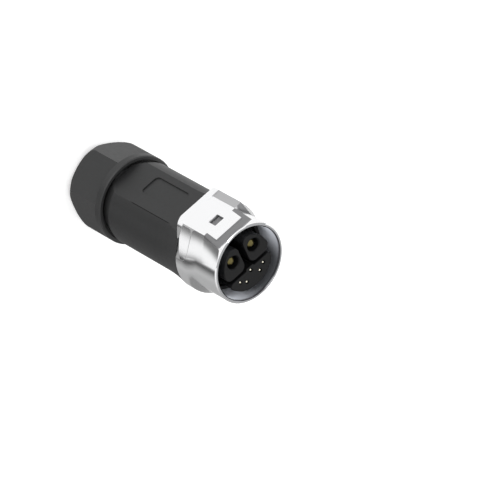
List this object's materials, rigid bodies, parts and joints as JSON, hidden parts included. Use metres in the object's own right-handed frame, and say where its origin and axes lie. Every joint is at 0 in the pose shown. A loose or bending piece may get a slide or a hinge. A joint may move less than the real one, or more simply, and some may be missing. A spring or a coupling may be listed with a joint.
{
  "type": "in-line cable receptacle",
  "caption": "Round in-line cable receptacle with a latch catch, recessed power and signal pins, a moulded grip and a screwed cable clamp.",
  "frame": {"origin": "on the connector's axis, at the clamp nut's cable-end face, which it stands on", "axes": "+Z along the connector's axis from the cable end to the mating face; -Y is the side with the catch for the mating latch; -X is the right side as seen looking at the mating face with the catch up"},
  "size_m": [0.0318, 0.0317, 0.0786],
  "materials": {
    "shell_metal": "bright nickel plate on a zinc casting, lightly brushed",
    "insert_plastic": "fine moulded matte black",
    "body_plastic": "fine moulded satin black",
    "nut_plastic": "fine moulded satin black",
    "claw_plastic": "natural moulded nylon",
    "seal_rubber": "smooth moulded rubber",
    "contact_gold": "gold plate on turned brass",
    "screw_steel": "plated steel"
  },
  "bodies": {
    "nut": {"clamp_nut": "nut_plastic"},
    "washer": {"slip_washer": "claw_plastic"},
    "connector": {"front_shell": "shell_metal", "contact_insert": "insert_plastic", "carrier_plate": "insert_plastic", "coupling_ring": "shell_metal", "mating_seal": "seal_rubber", "joint_ring": "seal_rubber", "rear_body": "body_plastic", "cable_seal": "seal_rubber", "clamp_claw": "claw_plastic", "power_contact_left": "contact_gold", "power_contact_right": "contact_gold", "terminal_screw_left": "screw_steel", "terminal_screw_right": "screw_steel", "signal_contact_1": "contact_gold", "signal_contact_2": "contact_gold", "signal_contact_3": "contact_gold", "signal_contact_4": "contact_gold", "signal_contact_5": "contact_gold"}
  },
  "joints": [
    {"name": "nut_turn", "type": "hinge", "parent": "nut", "child": "washer", "pos_m": [0, 0, 0], "axis": [0, 0, 1], "range_deg": [0, 1440]},
    {"name": "body_travel", "type": "slide", "parent": "washer", "child": "connector", "axis": [0, 0, 1], "range_m": [0, 0.006]}
  ],
  "couplings": [
    {"joint": "body_travel", "follows": "nut_turn", "m_per_rad": 0.00023873}
  ]
}
